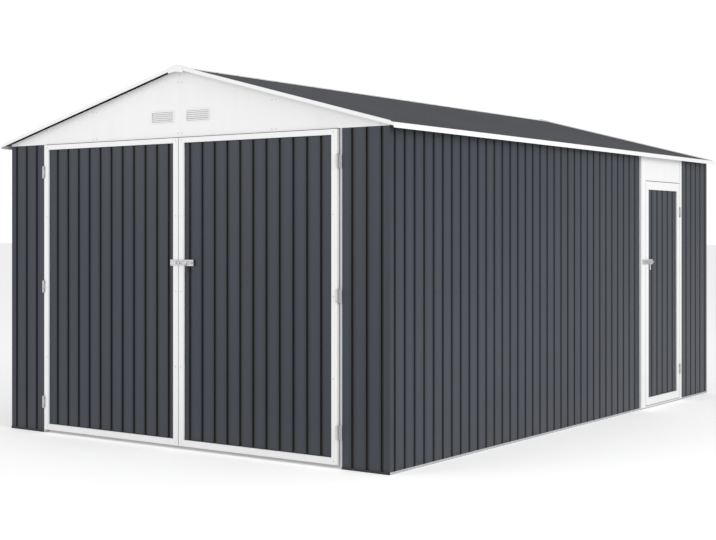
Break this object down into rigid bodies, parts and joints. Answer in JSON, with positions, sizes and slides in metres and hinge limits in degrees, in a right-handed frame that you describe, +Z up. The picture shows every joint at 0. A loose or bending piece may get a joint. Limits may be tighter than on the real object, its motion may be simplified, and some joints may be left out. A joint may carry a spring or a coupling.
{
  "type": "metal garage",
  "caption": "Gabled steel garage with grooved dark wall and roof sheets, white trims and gables, double front doors and a side door.",
  "frame": {"origin": "on the ground, in the middle of the plan", "axes": "+Z up, front doors at -Y, side door in the +X wall, ridge along Y"},
  "size_m": [4.0216, 5.991, 2.9424],
  "materials": {
    "anthracite": "satin anthracite sheet",
    "white_paint": "satin white trim",
    "black_paint": "satin black rail",
    "galvanised": "dull zinc coating",
    "hardware": "zinc plated fittings"
  },
  "bodies": {
    "shell": {"base_rail_front": "black_paint", "base_rails_sides": "galvanised", "base_rail_back": "galvanised", "corner_posts": "anthracite", "front_walls": "anthracite", "left_wall": "anthracite", "right_wall_front": "anthracite", "right_wall_rear": "anthracite", "back_wall": "anthracite", "gable_front": "white_paint", "gable_back": "white_paint", "gable_vents": "white_paint", "front_jambs": "white_paint", "headers": "galvanised", "side_jambs": "white_paint", "side_sill": "white_paint", "side_door_header": "white_paint", "eave_rails": "galvanised", "ridge_beam": "galvanised", "purlins": "galvanised", "rafters": "galvanised", "tie_beams": "galvanised", "mid_rails": "galvanised", "roof_left": "anthracite", "roof_right": "anthracite", "ridge_cap": "white_paint", "ridge_hoods": "white_paint", "eave_trims": "white_paint", "rake_trims": "white_paint", "hinge_posts": "hardware", "side_keeper": "hardware"},
    "door_left": {"door_left_frame": "white_paint", "door_left_panel": "anthracite", "door_left_hinges": "hardware", "front_keeper": "hardware"},
    "door_right": {"door_right_frame": "white_paint", "door_right_panel": "anthracite", "door_right_hinges": "hardware", "front_latch": "hardware"},
    "front_bolt": {"front_bolt": "hardware"},
    "side_door": {"side_door_frame": "white_paint", "side_door_panel": "anthracite", "side_door_hinges": "hardware", "side_latch": "hardware"},
    "side_bolt": {"side_bolt": "hardware"}
  },
  "joints": [
    {"name": "front_door_left", "type": "hinge", "parent": "shell", "child": "door_left", "pos_m": [-1.5125, -2.967, 1.206], "axis": [0, 0, -1], "range_deg": [0, 165]},
    {"name": "front_door_right", "type": "hinge", "parent": "shell", "child": "door_right", "pos_m": [1.5125, -2.967, 1.206], "axis": [0, 0, 1], "range_deg": [0, 165]},
    {"name": "front_bolt", "type": "slide", "parent": "door_right", "child": "front_bolt", "axis": [-1, 0, 0], "range_m": [0, 0.04]},
    {"name": "side_door", "type": "hinge", "parent": "shell", "child": "side_door", "pos_m": [1.967, 2.156, 1.0905], "axis": [0, 0, 1], "range_deg": [0, 165]},
    {"name": "side_bolt", "type": "slide", "parent": "side_door", "child": "side_bolt", "axis": [0, -1, 0], "range_m": [0, 0.04]}
  ]
}
